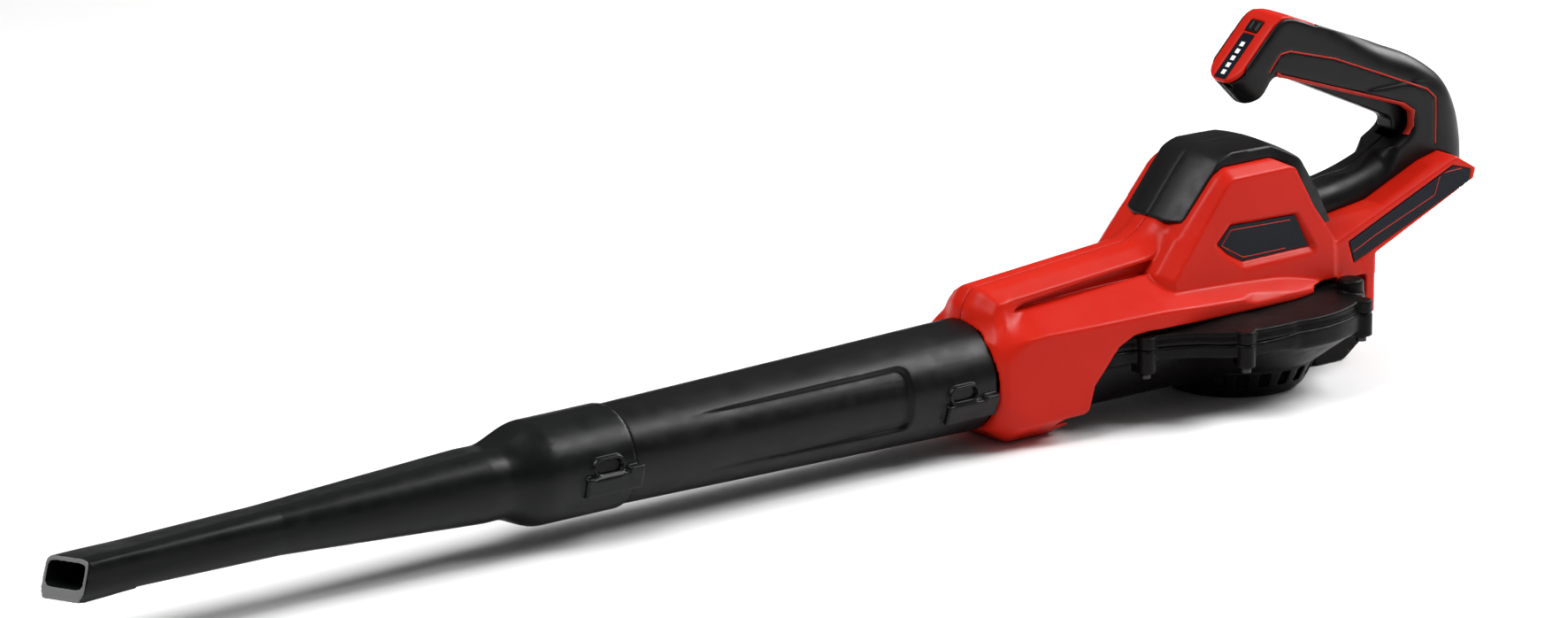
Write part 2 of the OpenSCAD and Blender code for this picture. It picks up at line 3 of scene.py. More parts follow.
import bpy
import numpy as np
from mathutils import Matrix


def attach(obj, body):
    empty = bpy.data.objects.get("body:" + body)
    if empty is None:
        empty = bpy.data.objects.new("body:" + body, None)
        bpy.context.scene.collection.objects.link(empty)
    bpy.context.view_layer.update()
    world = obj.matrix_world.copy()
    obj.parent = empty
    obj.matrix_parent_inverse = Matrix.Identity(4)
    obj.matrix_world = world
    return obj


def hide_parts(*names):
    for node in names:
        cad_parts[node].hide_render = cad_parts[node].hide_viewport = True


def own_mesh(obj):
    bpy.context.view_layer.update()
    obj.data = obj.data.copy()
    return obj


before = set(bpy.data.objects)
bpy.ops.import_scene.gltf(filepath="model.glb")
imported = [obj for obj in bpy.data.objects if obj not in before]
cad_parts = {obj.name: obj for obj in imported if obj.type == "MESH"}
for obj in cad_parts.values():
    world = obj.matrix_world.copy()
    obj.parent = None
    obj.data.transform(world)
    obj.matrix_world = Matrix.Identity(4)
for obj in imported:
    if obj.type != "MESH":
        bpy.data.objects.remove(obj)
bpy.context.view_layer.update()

import openvdb
from mathutils import Vector

# The moulded parts are worked out as signed distance fields and meshed from them. A field is negative
# inside the part. Its lengths are millimetres; materials, lights and the camera are in metres.
# x runs from the nozzle's mouth (negative) to the handle, y across, z up, and w is the distance from the
# middle plane: the parts are symmetric unless they use y.
MM = 0.001
COARSE = 1.0
# Half-width, in cells, of the band around a surface in which its field is kept
BAND = 4.0
COS_45 = 0.70711


# ---------- distance field tools ----------

def rounded(points, radius, steps=4):
    """The outline with each corner replaced by a smooth curve that starts radius before it."""
    corners = [np.array(p, float) for p in points]
    out = []
    for a, b, c in zip(corners[-1:] + corners[:-1], corners, corners[1:] + corners[:1]):
        back, ahead = a - b, c - b
        start = b + back * min(radius / np.linalg.norm(back), 0.5)
        end = b + ahead * min(radius / np.linalg.norm(ahead), 0.5)
        for t in np.linspace(0, 1, steps):
            out.append((1 - t) ** 2 * start + 2 * t * (1 - t) * b + t * t * end)
    return out


def squared_distance(u, v, a, b):
    """Squared distance from (u, v) to the straight line from a to b."""
    ex, ey = b - a
    wx, wy = u - a[0], v - a[1]
    t = np.clip((wx * ex + wy * ey) / (ex * ex + ey * ey), 0, 1)
    return (wx - ex * t) ** 2 + (wy - ey * t) ** 2


def outline(u, v, points):
    """Distance from (u, v) to a closed outline, negative inside it."""
    shape = np.broadcast(u, v).shape
    nearest = np.full(shape, 1e9, np.float32)
    inside = np.zeros(shape, bool)
    pts = [np.array(p, float) for p in points]
    for a, b in zip(pts, pts[1:] + pts[:1]):
        ex, ey = b - a
        if abs(ex) + abs(ey) < 1e-6:
            continue
        nearest = np.minimum(nearest, squared_distance(u, v, a, b))
        if ey:
            inside ^= ((a[1] <= v) != (b[1] <= v)) & (u < a[0] + (v - a[1]) * ex / ey)
    d = np.sqrt(nearest)
    return np.where(inside, -d, d)


def polyline(u, v, points):
    """Distance from (u, v) to an open line through the points."""
    nearest = np.full(np.broadcast(u, v).shape, 1e9, np.float32)
    pts = [np.array(p, float) for p in points]
    for a, b in zip(pts, pts[1:]):
        nearest = np.minimum(nearest, squared_distance(u, v, a, b))
    return np.sqrt(nearest)


def meet(a, b, r=0.0):
    """What is inside both, with the shared edge rounded by about r."""
    if np.ndim(r) == 0 and not r:
        return np.maximum(a, b)
    h = np.maximum(r - np.abs(a - b), 0)
    return np.maximum(a, b) + h * h / (4 * r)


def join(a, b, r=0.0):
    """What is inside either, with the inner corner filled by about r."""
    return -meet(-a, -b, r)


def cut(a, b, r=0.0):
    """What is inside a and outside b."""
    return meet(a, -b, r)


def engrave(d, region, depth, r=0.5):
    """Sinks the surface of d by depth inside the region."""
    return meet(d, join(-region, d + depth, r), r)


def brick(x, y, z, centre, half, r=0.5):
    """A box with rounded edges, given by its centre and half sizes."""
    qx, qy, qz = (np.abs(p - c) - h + r for p, c, h in zip((x, y, z), centre, half))
    outer = np.sqrt(np.maximum(qx, 0) ** 2 + np.maximum(qy, 0) ** 2 + np.maximum(qz, 0) ** 2)
    return outer + np.minimum(np.maximum(np.maximum(qx, qy), qz), 0) - r


def stadium(u, v, length, half_width):
    """A slot shape centred on the origin, length long along u."""
    return np.hypot(np.maximum(np.abs(u) - length / 2 + half_width, 0), v) - half_width


def ramp(t):
    """Smooth step from 0 to 1 over t from 0 to 1."""
    t = np.clip(t, 0, 1)
    return t * t * (3 - 2 * t)


def at(x, stations, values):
    """Straight interpolation along x; stations rise."""
    return np.interp(x, stations, values).astype(np.float32)


def slopes(d, points):
    """Unit gradient of the grid d at points given in cells, by trilinear sampling."""
    base = np.clip(np.floor(points).astype(int), 1, np.array(d.shape) - 3)
    frac = points - base
    out = np.zeros((len(points), 3), np.float32)
    for corner in np.ndindex(2, 2, 2):
        i, j, k = (base + corner).T
        weight = np.prod(np.where(np.array(corner), frac, 1 - frac), axis=1)
        out[:, 0] += weight * (d[i + 1, j, k] - d[i - 1, j, k])
        out[:, 1] += weight * (d[i, j + 1, k] - d[i, j - 1, k])
        out[:, 2] += weight * (d[i, j, k + 1] - d[i, j, k - 1])
    return out / np.maximum(np.linalg.norm(out, axis=1, keepdims=True), 1e-6)


def solid(name, field, lo, hi, body, material, stands_for=(), voxel=COARSE, flip_y=False,
          adapt=0.02):
    """Meshes the zero surface of field between the corners lo and hi, and puts it on its body.

    stands_for names the CAD nodes that the piece replaces, voxel is the cell size, flip_y mirrors the
    part to the left side, and a larger adapt saves more faces where the surface is flat.
    """
    axes = [np.arange(a - 2 * voxel, b + 3 * voxel, voxel, dtype=np.float32) for a, b in zip(lo, hi)]
    d = field(axes[0][:, None, None], axes[1][None, :, None], axes[2][None, None, :])
    d = np.ascontiguousarray(np.broadcast_to(d, [len(a) for a in axes]), dtype=np.float32)
    grid = openvdb.FloatGrid(BAND)
    grid.copyFromArray(np.clip(d / voxel, -BAND, BAND))
    points, tris, quads = grid.convertToPolygons(isovalue=0.0, adaptivity=adapt)
    normals = slopes(d, points)
    start = np.array([a[0] for a in axes])
    points = points * voxel + start
    if flip_y:
        points[:, 1] *= -1
        normals[:, 1] *= -1
    faces = [list(map(int, f)) for f in tris] + [list(map(int, f)) for f in quads]
    a, b, c = (points[[f[i] for f in faces]] for i in range(3))
    ahead = np.einsum("ij,ij->i", np.cross(b - a, c - a), normals[[f[0] for f in faces]])
    if np.sum(ahead) < 0:
        faces = [f[::-1] for f in faces]
    mesh = bpy.data.meshes.new(name)
    mesh.from_pydata((points * MM).tolist(), [], faces)
    mesh.validate()
    mesh.polygons.foreach_set("use_smooth", [True] * len(mesh.polygons))
    if len(mesh.vertices) == len(points):
        mesh.normals_split_custom_set_from_vertices(normals.tolist())
    piece = bpy.data.objects.new(name, mesh)
    bpy.context.scene.collection.objects.link(piece)
    mesh.materials.append(material)
    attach(piece, body)
    if stands_for:
        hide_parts(*stands_for)
    return piece


# ---------- materials ----------

# Patches per metre in the faint changes of tone of moulded plastic
PATCH = 14


def shader_of(material):
    """The material's Principled shader."""
    return material.node_tree.nodes["Principled BSDF"]


def new_material(name, colour, roughness, **sockets):
    """A Principled material. Further sockets are set by name, with _ for a space."""
    material = bpy.data.materials.new(name)
    material.use_nodes = True
    inputs = shader_of(material).inputs
    inputs["Base Color"].default_value = (*colour, 1)
    inputs["Roughness"].default_value = roughness
    for key, value in sockets.items():
        inputs[key.replace("_", " ")].default_value = value
    return material


def add_node(material, kind, **values):
    """A new shader node, with its inputs and settings given by name."""
    node = material.node_tree.nodes.new(kind)
    for key, value in values.items():
        if key in node.inputs:
            node.inputs[key].default_value = value
        else:
            setattr(node, key, value)
    return node


def wire(material, source, target):
    """Links an output of one node to an input of another."""
    material.node_tree.links.new(source, target)


def noise(material, scale, detail=2.0, stretch=(1, 1, 1)):
    """Noise over object coordinates; scale is features per metre."""
    coords = add_node(material, "ShaderNodeTexCoord")
    mapping = add_node(material, "ShaderNodeMapping")
    mapping.inputs["Scale"].default_value = stretch
    texture = add_node(material, "ShaderNodeTexNoise", Scale=scale, Detail=detail)
    wire(material, coords.outputs["Object"], mapping.inputs["Vector"])
    wire(material, mapping.outputs["Vector"], texture.inputs["Vector"])
    return texture.outputs["Fac"]


def spread(material, source, low, high):
    """Maps the middle of a noise's range onto low..high."""
    node = add_node(material, "ShaderNodeMapRange")
    node.inputs["From Min"].default_value = 0.35
    node.inputs["From Max"].default_value = 0.65
    node.inputs["To Min"].default_value = low
    node.inputs["To Max"].default_value = high
    wire(material, source, node.inputs["Value"])
    return node.outputs["Result"]


def blend_colour(material, factor, first, second):
    """A colour that goes from first to second as factor goes from 0 to 1."""
    node = add_node(material, "ShaderNodeMix", data_type="RGBA")
    node.inputs[6].default_value = (*first, 1)
    node.inputs[7].default_value = (*second, 1)
    wire(material, factor, node.inputs[0])
    return node.outputs[2]


def paint_over(material, factor, second):
    """Puts a second colour over the linked base colour of the material, as far as factor says."""
    base = shader_of(material).inputs["Base Color"]
    node = add_node(material, "ShaderNodeMix", data_type="RGBA")
    wire(material, factor, node.inputs[0])
    wire(material, base.links[0].from_socket, node.inputs[6])
    node.inputs[7].default_value = (*second, 1)
    wire(material, node.outputs[2], base)


def moulded(name, colour, darker, roughness, grain=900, grain_depth=0.00002, gloss_level=0.16):
    """Moulded plastic: broad, faint changes of tone and gloss, and a fine spark-eroded grain."""
    material = new_material(name, colour, roughness, Specular_IOR_Level=gloss_level)
    inputs = shader_of(material).inputs
    tone = spread(material, noise(material, PATCH, 3), 0, 1)
    wire(material, blend_colour(material, tone, colour, darker), inputs["Base Color"])
    gloss = spread(material, noise(material, PATCH * 6, 4), roughness - 0.05, roughness + 0.05)
    wire(material, gloss, inputs["Roughness"])
    bump = add_node(material, "ShaderNodeBump", Strength=0.35, Distance=grain_depth)
    wire(material, noise(material, grain, 3), bump.inputs["Height"])
    wire(material, bump.outputs["Normal"], inputs["Normal"])
    return material


def metal(name, colour, roughness, stretch=(1, 1, 12)):
    """Turned or rolled metal with fine lines."""
    material = new_material(name, colour, roughness, Metallic=1.0)
    inputs = shader_of(material).inputs
    lines = noise(material, 500, 2, stretch)
    gloss = spread(material, lines, roughness - 0.08, roughness + 0.1)
    wire(material, gloss, inputs["Roughness"])
    tone = blend_colour(material, lines, colour, [c * 0.8 for c in colour])
    wire(material, tone, inputs["Base Color"])
    return material


def print_checks(material, pitch, second):
    """A fine checked print; pitch is the side of one square in metres."""
    coords = add_node(material, "ShaderNodeTexCoord")
    checks = add_node(material, "ShaderNodeTexChecker", Scale=1 / pitch)
    wire(material, coords.outputs["Object"], checks.inputs["Vector"])
    paint_over(material, checks.outputs["Fac"], second)


def paint_mouth_highlight(material, facing, offset, second):
    """Paints another colour over the flat face beyond the plane facing . position = offset: a painted
    highlight for the light that the cut face catches.
    """
    coords = add_node(material, "ShaderNodeTexCoord")
    along = add_node(material, "ShaderNodeVectorMath", operation="DOT_PRODUCT")
    along.inputs[1].default_value = facing
    wire(material, coords.outputs["Object"], along.inputs[0])
    past = add_node(material, "ShaderNodeMath", operation="GREATER_THAN")
    past.inputs[1].default_value = offset
    wire(material, along.outputs["Value"], past.inputs[0])
    paint_over(material, past.outputs[0], second)


RED = moulded("red_shell", (0.50, 0.013, 0.004), (0.46, 0.010, 0.003), 0.38, grain=1400,
              grain_depth=0.000015, gloss_level=0.13)
LINE_RED = moulded("red_line", (0.42, 0.022, 0.012), (0.36, 0.018, 0.010), 0.45)
CAP_BLACK = moulded("black_shell", (0.0052, 0.0048, 0.0050), (0.0040, 0.0037, 0.0039), 0.42, grain=1100,
                    gloss_level=0.20)
GRIP_BLACK = moulded("soft_grip", (0.0040, 0.0039, 0.0042), (0.0030, 0.0029, 0.0031), 0.37, grain=1500)
TUBE_BLACK = moulded("tube_black", (0.0045, 0.0041, 0.0046), (0.0034, 0.0031, 0.0035), 0.36, grain=1300)
NOZZLE_BLACK = moulded("nozzle_black", (0.0034, 0.0041, 0.0038), (0.0026, 0.0031, 0.0029), 0.34,
                       grain=1300)
CASING_BLACK = moulded("fan_casing", (0.0036, 0.0028, 0.0030), (0.0026, 0.0020, 0.0022), 0.42,
                       grain=1100, gloss_level=0.10)
KEY_BLACK = moulded("black_key", (0.0042, 0.0042, 0.0045), (0.0032, 0.0032, 0.0034), 0.36, grain=1200)
NAVY = moulded("navy_plate", (0.0022, 0.0036, 0.0070), (0.0018, 0.0030, 0.0060), 0.34, grain=2200,
               grain_depth=0.000008, gloss_level=0.10)
LAMP = moulded("lamp_white", (0.86, 0.87, 0.86), (0.80, 0.81, 0.80), 0.35, grain=2000,
               grain_depth=0.000006)
BOARD = moulded("board_green", (0.02, 0.13, 0.05), (0.015, 0.10, 0.04), 0.35)
SWITCH = moulded("switch_grey", (0.06, 0.06, 0.065), (0.05, 0.05, 0.055), 0.5)
RUBBER = moulded("grey_rubber", (0.16, 0.16, 0.16), (0.13, 0.13, 0.13), 0.7)
IMPELLER = moulded("impeller_grey", (0.05, 0.05, 0.053), (0.04, 0.04, 0.042), 0.45)
MAGNET = moulded("magnet_grey", (0.22, 0.22, 0.23), (0.18, 0.18, 0.19), 0.4)
WIRE = moulded("wire_red", (0.5, 0.03, 0.02), (0.42, 0.02, 0.015), 0.5)
STEEL = metal("steel", (0.62, 0.62, 0.64), 0.28)
SCREW = metal("screw_steel", (0.045, 0.045, 0.048), 0.42)
ALUMINIUM = metal("cast_aluminium", (0.66, 0.66, 0.67), 0.45, (1, 1, 1))
COPPER = metal("copper", (0.72, 0.38, 0.20), 0.3)
print_checks(NAVY, 0.0013, (0.009, 0.012, 0.018))


# ---------- red body ----------

# Outlines named SIDE are seen from the side, as (x, z) points, and those named PLAN from above, as (x, w)
WALL = 3.0
# Each half stops this far short of the middle plane, which leaves the seam
SEAM = 0.08
BODY_LO, BODY_HI = (-238, -0.6, -1), (186, 60, 164)
TOWER_SIDE = rounded([(-97, 40), (-97, 95), (-78.6, 117), (-76.8, 117.4), (-45, 152.5), (-37, 157.8),
                      (5, 157.8), (19.5, 150.5), (35, 122), (48, 104), (62, 84), (62, 40)], 2)
# The wide strip bevelled along the tower's front and top stops short of its rear
STRIP_SIDE = rounded([(-97, -40), (-97, 95), (-46, 155.5), (-38, 160), (60, 160), (60, -40)], 4)
RIDGE_SIDE = rounded([(-237, 40), (-236, 92), (-228, 103.5), (-96, 113), (-85, 118), (-77, 126),
                      (-50, 126), (-50, 40)], 4)
SHROUD_SIDE = [(-236, 14), (-214, 0), (-178, 0), (-171, 8), (-163, 36), (-144, 59), (-132, 65),
               (-122, 66), (63, 66), (63, 130), (-236, 130)]
BODY_PLAN = rounded([(-237, -20), (93, -20), (93, 38), (64, 38), (50, 41), (35, 50), (10, 56.5),
                     (-5, 57.5), (-84, 57), (-171, 49.5), (-222, 43), (-237, 40)], 16)
CHANNEL_SIDE = [(-213, 88.5), (-202, 92.8), (-150, 98.3), (-86, 103.5), (-74, 109), (-60, 109),
                (-60, 92), (-145, 91), (-202, 88.5)]
REAR_SIDE = [(85, 39), (93, 39), (93, 90), (85, 90)]
SHELF_SIDE = [(40, 66), (93, 66), (93, 79), (181, 116), (183, 123), (165, 134), (147, 130), (100, 111),
              (62, 106), (40, 112)]
# The line along the shelf's side from which its upper edge falls outwards
SHELF_CREST = ((44, 87), (162, 132))
# Distance from the middle plane to the shelf's sides, and to the face of the plate on the tower
SHELF_HW, BADGE_W = 38.0, 40.0
BADGE_SIDE = [(-49.5, 110), (-40, 101.8), (-27.5, 95), (31, 95.5), (18.5, 119), (-38.5, 121)]
TRIM_SIDE = [(69, 91), (74, 76), (177, 115), (178, 123), (162, 128), (147, 122)]
TOWER_SCREWS = [(-80, 76), (-60, 126), (12, 149), (72, 88)]
SHROUD_SCREWS = [(-222, 92.5), (-120, 96)]
POST_R, WELL_R = 5.2, 3.4
# Height of the axis of the tube and of the passage to it
AXIS_Z = 46.5


def tower(x, w, z):
    """The motor tower: a leaning face, with a wide bevel along its front and top."""
    face = (w - 43 + (z - 92) * 3 / 58) * 0.9987
    strip = (face * 0.62 + outline(x, z, STRIP_SIDE) * 0.78) + 6.4
    return meet(meet(outline(x, z, TOWER_SIDE), face, 1.2), strip, 0.8)


def ridge(x, w, z):
    """The raised back of the shroud, flat on top and falling to each side."""
    top = outline(x, z, RIDGE_SIDE)
    fall = top * 0.84 + (w - 10) * 0.54
    return meet(meet(top, fall, 2.5), w - 22.5, 1.2)


def shoulder(x, w, z):
    """The wide lower body under a deck that slopes up to the ridge and the tower."""
    plan = outline(x, w, BODY_PLAN)
    crease = at(x, [-236, -200, -105, -40, 0, 40], [72.5, 76, 77.5, 74.5, 71.8, 69])
    deck = plan * 0.5 + (z - crease) * 0.866
    d = meet(meet(plan, deck, 1.6), outline(x, z, SHROUD_SIDE), 1.5)
    chin = np.where(x < -120, (w - 20) * 0.555 - z * 0.832, -50.0)
    collar = (np.hypot(w, z - AXIS_Z) - 40.5 - (x + 237) * 0.6) * 0.86
    return meet(meet(d, chin, 1.5), collar, 3)


def shelf(x, w, z):
    """The battery shelf, with its upper edge falling outwards."""
    (x0, z0), (x1, z1) = SHELF_CREST
    rise = math.atan2(z1 - z0, x1 - x0)
    above = (z - z0) * math.cos(rise) - (x - x0) * math.sin(rise)
    fall = above * 0.80 + (w - SHELF_HW) * 0.60
    wing = meet(meet(outline(x, z, SHELF_SIDE), w - SHELF_HW, 1.2), fall, 1.2)
    return join(wing, meet(outline(x, z, REAR_SIDE), w - SHELF_HW, 1), 1)


def body_outer(x, w, z):
    """The whole outside of the red body, with the long channel below the ridge."""
    shroud = join(ridge(x, w, z), shoulder(x, w, z), 1.5 + 16 * ramp((-200 - x) / 24))
    channel = meet(outline(x, z, CHANNEL_SIDE), np.maximum(17.5 - w, w - 24))
    shroud = cut(shroud, channel, 0.8)
    body = join(shroud, tower(x, w, z), 1.6)
    return join(body, shelf(x, w, z), 3)


def body_half(x, w, z):
    """One hollow half of the red body, cut at the middle plane, with seats for the two plates."""
    outer = body_outer(x, w, z)
    rim = outline(x, z, BADGE_SIDE) - 0.4 - np.maximum(w - BADGE_W - 0.1, 0) * 1.4
    pocket = meet(rim, BADGE_W - 1.1 - w)
    outer = cut(outer, pocket, 0.5)
    d = np.maximum(outer, -(outer + WALL))
    casing_room = brick(x, w, z, (-18, 0, 60), (75, 52, 10), 2)
    tube_mouth = np.maximum(np.hypot(w, z - AXIS_Z) - 36.5, x + 205)
    rear_passage = brick(x, w, z, (-145.5, 0, 37), (20, 47.2, 29), 0.5)
    front_passage = brick(x, w, z, (-172, 0, 37), (12, 44.5, 28), 0.5)
    for opening in (casing_room, tube_mouth, rear_passage, front_passage):
        d = cut(d, opening, 0.3)
    d = engrave(d, meet(outline(x, z, TRIM_SIDE), 30 - w), 1.2, 0.2)
    return meet(d, SEAM - w, 0.5)


def screw_wells(d, outer, x, w, z, places, post_r, well_r, floor_w):
    """Adds a post across the half at each place, with a well in it down to the screw's head."""
    for px, pz in places:
        rho = np.hypot(x - px, z - pz)
        d = np.minimum(d, np.maximum(np.maximum(rho - post_r, outer), 0.1 - w))
        d = cut(d, np.maximum(rho - well_r, floor_w - w), 0.5)
    return d


def body_half_with_wells(x, w, z):
    """The right half, which takes the heads of the screws."""
    outer = body_outer(x, w, z)
    d = screw_wells(body_half(x, w, z), outer, x, w, z, TOWER_SCREWS, POST_R, WELL_R, 24)
    return screw_wells(d, outer, x, w, z, SHROUD_SCREWS, POST_R, WELL_R, 12)


solid("body_left", body_half, BODY_LO, BODY_HI, "housing", RED, ["housing_left"],
      flip_y=True)
solid("body_right", body_half_with_wells, BODY_LO, BODY_HI, "housing", RED,
      ["housing_right"])

BADGE_LINE = [(14, 116), (-38, 117.8), (-46, 108.4), (-27, 97.6), (10, 97.3)]
TRIM_LINE = [(73, 83.7), (93, 92), (119, 101), (145.6, 110.4), (150.3, 123.5), (155.6, 124.4),
             (177, 125)]


def plate_lines(x, w, z):
    """Thin red lines let into the plates on the tower and on the battery shelf."""
    badge = meet(polyline(x, z, BADGE_LINE) - 0.45, np.abs(w - BADGE_W) - 0.35)
    trim = meet(polyline(x, z, TRIM_LINE) - 0.45, np.abs(w - SHELF_HW) - 0.35)
    return np.minimum(badge, meet(trim, outline(x, z, TRIM_SIDE) + 0.6))


for side_name, mirrored in (("left", True), ("right", False)):
    solid("plate_lines_" + side_name, plate_lines, (-48, 37.2, 82), (179, 40.8, 127), "housing",
          LINE_RED, voxel=0.4 * COARSE, flip_y=mirrored)


# ---------- cap ----------

CAP_SIDE = rounded([(-78.5, 124.5), (-66, 118), (30, 110), (38, 104), (60, 104), (45, 133),
                    (28.5, 158.5), (8, 167.5), (-32, 168.5), (-42, 166), (-52, 156)], 4)


def cap(x, y, z):
    """The black cap along the crest of the tower: a bowed top, and a steep band down each side."""
    w = np.abs(y)
    side = outline(x, z, CAP_SIDE)
    crown = side + (w / 29) ** 2 * at(x - z * 0.2, [-95, -76, -60], [6.0, 6.0, 2.2])
    flare = 8 * ramp((x - 6) / 22)
    band = meet((w - 27.4 - flare + side * 0.2) * 0.98, w - 31 - flare)
    d = meet(crown, band, 1.2)
    d = cut(d, body_outer(x, w, z) - 0.15)
    return engrave(d, w - 0.35, 0.7, 0.3)


solid("crest_cap", cap, (-80, -40, 103), (62, 40, 170), "housing", CAP_BLACK,
      ["motor_cap"])


# ---------- handle ----------

GRIP_HW, GRIP_WALL = 19.0, 3.6
GRIP_SIDE = rounded([(-15.5, 208.5), (-15.5, 196), (-8, 188), (2, 186.6), (9.5, 192.5), (18, 206.5),
                     (26, 207), (134, 170.3), (142.5, 164.5), (143.5, 154), (139, 148.5), (100, 129),
                     (63, 126.5), (39, 124), (45, 108), (56, 104), (100, 108), (147, 127), (165, 131),
                     (197, 120), (197, 152), (192, 172), (182, 186), (170, 193.5), (57, 237.5),
                     (36, 246), (27, 247), (20, 243)], 6)
BEZEL_SIDE = rounded([(-15.5, 208.5), (-13.2, 205.6), (-10.6, 207.2), (21.5, 239.3), (28.4, 242.6),
                      (35.2, 241.9), (56, 233.6), (58.5, 237.4), (36, 246.5), (27, 247.5),
                      (20, 243.5)], 1.5)
# The thin line along each flank, and the bold one around the opening, both from the nose
GROOVE = [(14.6, 211.7), (19.5, 217.5), (24.4, 222.5), (33, 223.2), (73.5, 211.6), (120.4, 192.4),
          (155.7, 177.7), (163.2, 170.8), (163, 139.5)]
OPENING_EDGE = [(22, 209.5), (25, 207.4), (134.3, 170.7), (142.6, 164.9), (142.8, 154.8),
                (139.1, 149.8), (124.4, 153.8)]
TRIGGER_ROOM = [(31, 194), (150, 138), (150, 168), (140, 184), (64, 212), (40, 213.5), (32, 209)]
TRIGGER_PIN = (46, 205)
GRIP_SCREWS = [(14, 205), (172, 170), (158, 140)]
BEZEL_HW = 15.6
# The panel on the nose rises at 45 degrees from its root; the speed button lies this far along it
PANEL_ROOT = (-15.5, 208)
BUTTON_ALONG = 45.0


def panel(x, z):
    """Along the panel line of the nose, and out of it."""
    px, pz = x - PANEL_ROOT[0], z - PANEL_ROOT[1]
    return (px + pz) * COS_45, (pz - px) * COS_45


def nose_round(x, w, z, r):
    """Rounds the lower end of the nose across its panel."""
    along, _ = panel(x, z)
    return np.minimum(np.hypot(np.minimum(along - r, 0), w) - r, (z - 186) * 0.7)


def beyond(x, z, point, angle):
    """Distance beyond a straight line through a point; the angle says which way beyond is."""
    a = math.radians(angle)
    return (x - point[0]) * math.cos(a) + (z - point[1]) * math.sin(a)


def grip_outer(x, w, z):
    """The handle, with broad rounding over the back of the arch and the top of the lower limb.

    The ramps fade these roundings out towards the nose and above the lower limb.
    """
    back = meet(beyond(x, z, (57, 237.5), 68.7), beyond(x, z, (187, 179), 35.5), 24)
    back = meet(back, x - 197, 24) - 15 * ramp((130 - x) / 105)
    limb = join(beyond(x, z, (100, 129), 114.7), beyond(x, z, (100, 129), 94.7), 12)
    limb = limb - 60 * ramp((x - 118) / 40) - 250 * ramp((z - 150) / 12)
    d = meet(outline(x, z, GRIP_SIDE), w - GRIP_HW, 5.5)
    d = meet(d, meet(back, w - GRIP_HW, 24))
    d = meet(d, meet(limb, w - GRIP_HW, 20))
    return meet(d, nose_round(x, w, z, GRIP_HW - 1), 3)


def grip_half(x, w, z):
    """One half of the black handle, with its panel groove and the slot for the lever."""
    outer = grip_outer(x, w, z)
    d = engrave(outer, polyline(x, z, GROOVE) - 0.6, 0.7, 0.3)
    d = engrave(d, meet(polyline(x, z, OPENING_EDGE) - 1.2, 13.4 - w), 1.2, 0.3)
    lever_room = meet(outline(x, z, TRIGGER_ROOM), w - 9.2, 0.5)
    bezel_seat = meet(outline(x, z, BEZEL_SIDE) - 0.25, w - BEZEL_HW - 0.3)
    along, out = panel(x, z)
    panel_room = brick(along, w, out, (25.8, 0, -4), (24.8, 7.2, 5.2))
    cap_room = meet(outline(x, z, CAP_SIDE), w - 31) - 0.1
    d = cut(cut(d, lever_room, 0.8), bezel_seat, 0.3)
    d = cut(cut(d, panel_room), body_outer(x, w, z) - 0.1, 0.3)
    d = cut(d, cap_room, 0.2)
    d = cut(d, meet(outer + GRIP_WALL, w - 15.5))
    return meet(d, SEAM - w, 0.5)


def grip_half_with_wells(x, w, z):
    """The right half, which takes the heads of the screws."""
    return screw_wells(grip_half(x, w, z), grip_outer(x, w, z), x, w, z, GRIP_SCREWS, 5, 3.3, 8)


def grip_lines(x, y, z):
    """The red lines let into the handle: a thin one over each flank, a bold one around the opening.

    The bold one is left out beside the foot of the opening on the right side.
    """
    w = np.abs(y)
    outer = grip_outer(x, w, z)
    groove = meet(meet(polyline(x, z, GROOVE) - 0.6, np.abs(outer + 0.5) - 0.7, 0.2), 12 - w)
    bead = meet(meet(polyline(x, z, OPENING_EDGE) - 1.2, np.abs(outer + 0.3) - 1.3, 0.6), 13.4 - w)
    return np.minimum(groove, np.where((y > 0) & (z < 160), 5.0, bead))


GRIP_LO, GRIP_HI = (-17, -0.6, 103), (199, 20, 249)
solid("grip_shell_left", grip_half, GRIP_LO, GRIP_HI, "housing", GRIP_BLACK, ["grip_left"],
      flip_y=True, adapt=0.003)
solid("grip_shell_right", grip_half_with_wells, GRIP_LO, GRIP_HI, "housing", GRIP_BLACK,
      ["grip_right"], adapt=0.003)
solid("grip_inlay", grip_lines, (10, -20, 126), (170, 20, 226), "housing", LINE_RED,
      voxel=0.5 * COARSE)


def bezel(x, y, z):
    """The red frame around the panel, running over the top of the nose."""
    w = np.abs(y)
    d = meet(outline(x, z, BEZEL_SIDE) + (w / 15.5) ** 4 * 0.8, w - BEZEL_HW, 1.6)
    d = meet(d, nose_round(x, w, z, BEZEL_HW), 1.2)
    along, out = panel(x, z)
    window = brick(along, w, out, (20.25, 0, 0), (18.35, 5.8, 8), 0.8)
    button = brick(along, w, out, (BUTTON_ALONG, 0, 0), (4.9, 6.4, 8), 0.8)
    return cut(d, np.minimum(window, button), 0.4)


solid("panel_frame", bezel, (-17, -17, 203), (60, 17, 249), "housing", RED,
      ["panel_bezel"], voxel=0.7 * COARSE)


def panel_button(x, y, z):
    """The speed button: a low block with two raised bars."""
    along, out = panel(x, z)
    d = brick(along, y, out, (BUTTON_ALONG, 0, -1.5), (4.5, 6, 2.1), 0.8)
    for side in (-1, 1):
        bar = brick(along, y, out, (BUTTON_ALONG, side * 2.8, 0.1), (3.2, 1.3, 0.9), 0.4)
        d = join(d, bar, 0.3)
    return d


solid("speed_key", panel_button, (8, -7, 233), (25, 7, 246), "panel_key", KEY_BLACK,
      ["speed_button"], voxel=0.35 * COARSE)


def key_spring(x, y, z):
    """The rubber pad that the speed button rests on."""
    along, out = panel(x, z)
    return meet(np.hypot(along - BUTTON_ALONG, y) - 3, np.abs(out + 5.15) - 1.25, 0.4)


